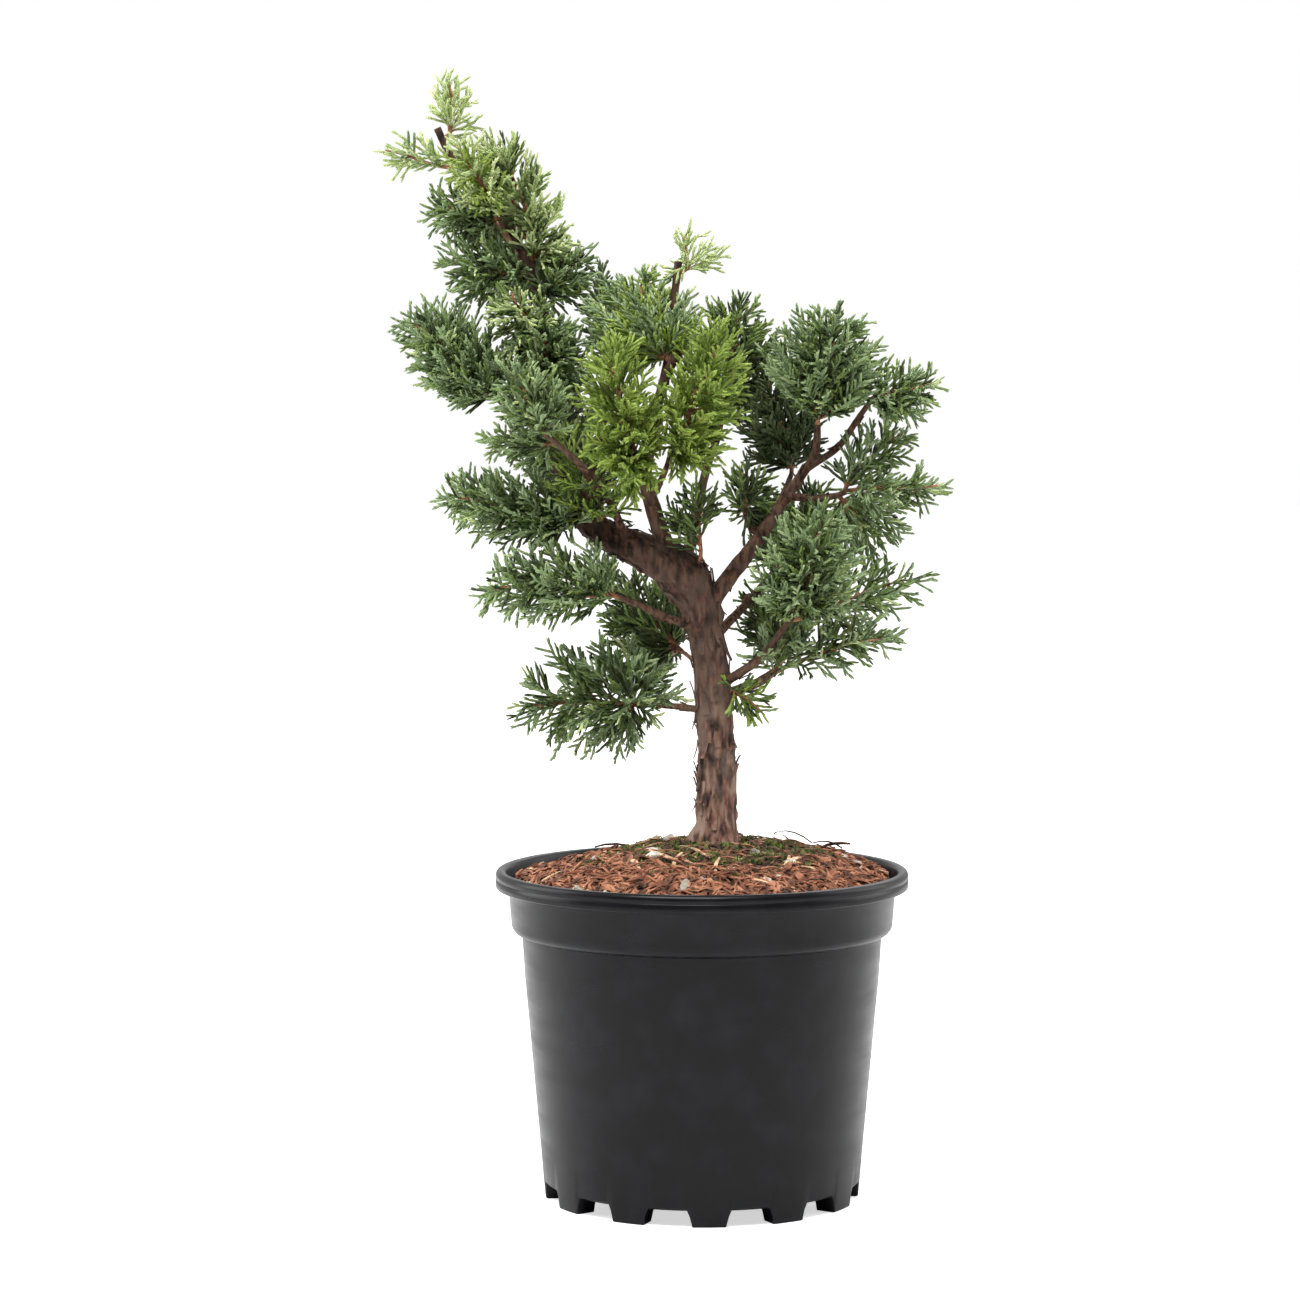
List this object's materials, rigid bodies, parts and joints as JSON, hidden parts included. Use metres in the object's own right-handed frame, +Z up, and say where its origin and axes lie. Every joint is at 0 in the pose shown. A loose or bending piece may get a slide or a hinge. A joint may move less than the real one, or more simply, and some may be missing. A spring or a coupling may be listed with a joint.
{
  "type": "potted blaauw chinese juniper",
  "caption": "Young evergreen shrub with a bent leaning trunk and clumps of scale-leaf sprays, in a round black plastic nursery pot of bark soil.",
  "frame": {"origin": "middle of the whole plant's footprint, on the surface that the pot's feet stand on", "axes": "+Z up, -Y to the plant's front, +X to its right seen from the front"},
  "size_m": [0.2614, 0.1898, 0.5161],
  "materials": {
    "pot_plastic": "satin black moulded plastic",
    "soil_mulch": "loose reddish bark and fibre",
    "bark": "rough peeling bark",
    "foliage": "matt blue-green scale leaves"
  },
  "bodies": {
    "root": {"pot": "pot_plastic", "soil": "soil_mulch", "trunk": "bark", "bough_centre": "bark", "bough_top": "bark", "bough_centre_left": "bark", "bough_centre_right": "bark", "bough_front_left": "bark", "bough_right": "bark", "bough_right_far": "bark", "bough_right_out": "bark", "bough_right_in": "bark", "bough_right_spur": "bark", "bough_lower_right": "bark", "bough_lower_right_back": "bark", "bough_mid_left": "bark", "bough_lower_left": "bark", "bough_left_upper": "bark", "bough_back": "bark", "bough_back_left": "bark", "bough_back_right": "bark", "leader_tip": "foliage", "leader_left_spray": "foliage", "leader_front": "foliage", "leader_right": "foliage", "leader_left_mid": "foliage", "leader_left_low": "foliage", "leader_right_low": "foliage", "leader_front_low": "foliage", "leader_back": "foliage", "left_upper": "foliage", "centre_left": "foliage", "front_left": "foliage", "left_spray": "foliage", "centre_low": "foliage", "centre_top": "foliage", "top_sprig": "foliage", "centre_front": "foliage", "centre_right": "foliage", "knuckle_spray": "foliage", "back_centre": "foliage", "back_sprig": "foliage", "right_top": "foliage", "right_top_tip": "foliage", "right_inner": "foliage", "right_inner_low": "foliage", "right_high_mid": "foliage", "right_tip": "foliage", "right_mid": "foliage", "right_front": "foliage", "right_low": "foliage", "right_low_spray": "foliage", "right_low_back": "foliage", "small_shoot": "foliage", "mid_left_upper": "foliage", "mid_left_lower": "foliage", "back_left_low": "foliage", "lower_left": "foliage", "back_left_mid": "foliage", "back_right_mid": "foliage"}
  },
  "joints": []
}
